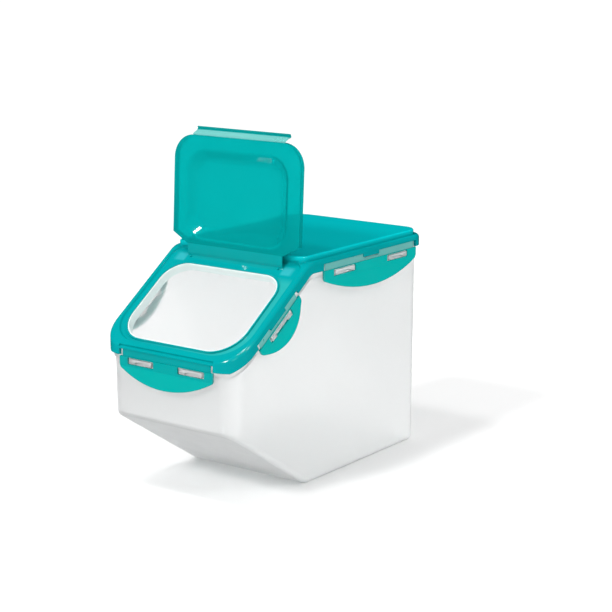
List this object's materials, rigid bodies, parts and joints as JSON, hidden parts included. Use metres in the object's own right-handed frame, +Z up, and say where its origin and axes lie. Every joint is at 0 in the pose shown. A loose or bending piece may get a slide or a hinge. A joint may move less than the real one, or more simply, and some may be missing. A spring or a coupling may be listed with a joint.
{
  "type": "pet food bin",
  "caption": "Upright dry food bin with a ramped front, a clip-on lid with a raised rear deck, hinged locking tabs and a sloping flip lid over the pouring opening.",
  "frame": {"origin": "middle of the footprint of the whole bin, on the surface that it stands on", "axes": "+Z up, -Y towards the pouring end, X across the bin"},
  "size_m": [0.1502, 0.2752, 0.2926],
  "materials": {
    "frosted_container": "frosted translucent polypropylene",
    "teal_lid": "glossy, slightly translucent polypropylene",
    "teal_web": "thin living hinge, paler because light passes through it",
    "seal": "translucent white silicone"
  },
  "bodies": {
    "container": {"container_body": "frosted_container", "main_lid": "teal_lid", "lid_seal": "seal", "opening_seal": "seal"},
    "flip_lid": {"flip_lid": "teal_lid", "flip_lid_web": "teal_web"},
    "flip_latch": {"flip_latch": "teal_lid", "flip_latch_web": "teal_web"},
    "front_tab": {"front_tab": "teal_lid", "front_tab_web": "teal_web"},
    "rear_tab": {"rear_tab": "teal_lid", "rear_tab_web": "teal_web"},
    "left_slope_tab": {"left_slope_tab": "teal_lid", "left_slope_tab_web": "teal_web"},
    "left_deck_tab": {"left_deck_tab": "teal_lid", "left_deck_tab_web": "teal_web"},
    "right_slope_tab": {"right_slope_tab": "teal_lid", "right_slope_tab_web": "teal_web"},
    "right_deck_tab": {"right_deck_tab": "teal_lid", "right_deck_tab_web": "teal_web"}
  },
  "joints": [
    {"name": "flip_lid_hinge", "type": "hinge", "parent": "container", "child": "flip_lid", "pos_m": [0, -0.04708, 0.18678], "axis": [1, 0, 0], "range_deg": [0, 128]},
    {"name": "flip_latch_hinge", "type": "hinge", "parent": "flip_lid", "child": "flip_latch", "pos_m": [0, -0.03988, 0.28693], "axis": [1, 0, 0], "range_deg": [0, 67]},
    {"name": "front_tab_hinge", "type": "hinge", "parent": "container", "child": "front_tab", "pos_m": [0, -0.13365, 0.1205], "axis": [1, 0, 0], "range_deg": [-100, 0]},
    {"name": "rear_tab_hinge", "type": "hinge", "parent": "container", "child": "rear_tab", "pos_m": [0, 0.13365, 0.1859], "axis": [-1, 0, 0], "range_deg": [-100, 0]},
    {"name": "left_slope_tab_hinge", "type": "hinge", "parent": "container", "child": "left_slope_tab", "pos_m": [-0.07115, -0.08177, 0.15293], "axis": [0, -0.8211, -0.5708], "range_deg": [-100, 0]},
    {"name": "left_deck_tab_hinge", "type": "hinge", "parent": "container", "child": "left_deck_tab", "pos_m": [-0.07115, 0.048, 0.1859], "axis": [0, -1, 0], "range_deg": [-100, 0]},
    {"name": "right_slope_tab_hinge", "type": "hinge", "parent": "container", "child": "right_slope_tab", "pos_m": [0.07115, -0.08177, 0.15293], "axis": [0, 0.8211, 0.5708], "range_deg": [-100, 0]},
    {"name": "right_deck_tab_hinge", "type": "hinge", "parent": "container", "child": "right_deck_tab", "pos_m": [0.07115, 0.048, 0.1859], "axis": [0, 1, 0], "range_deg": [-100, 0]}
  ]
}
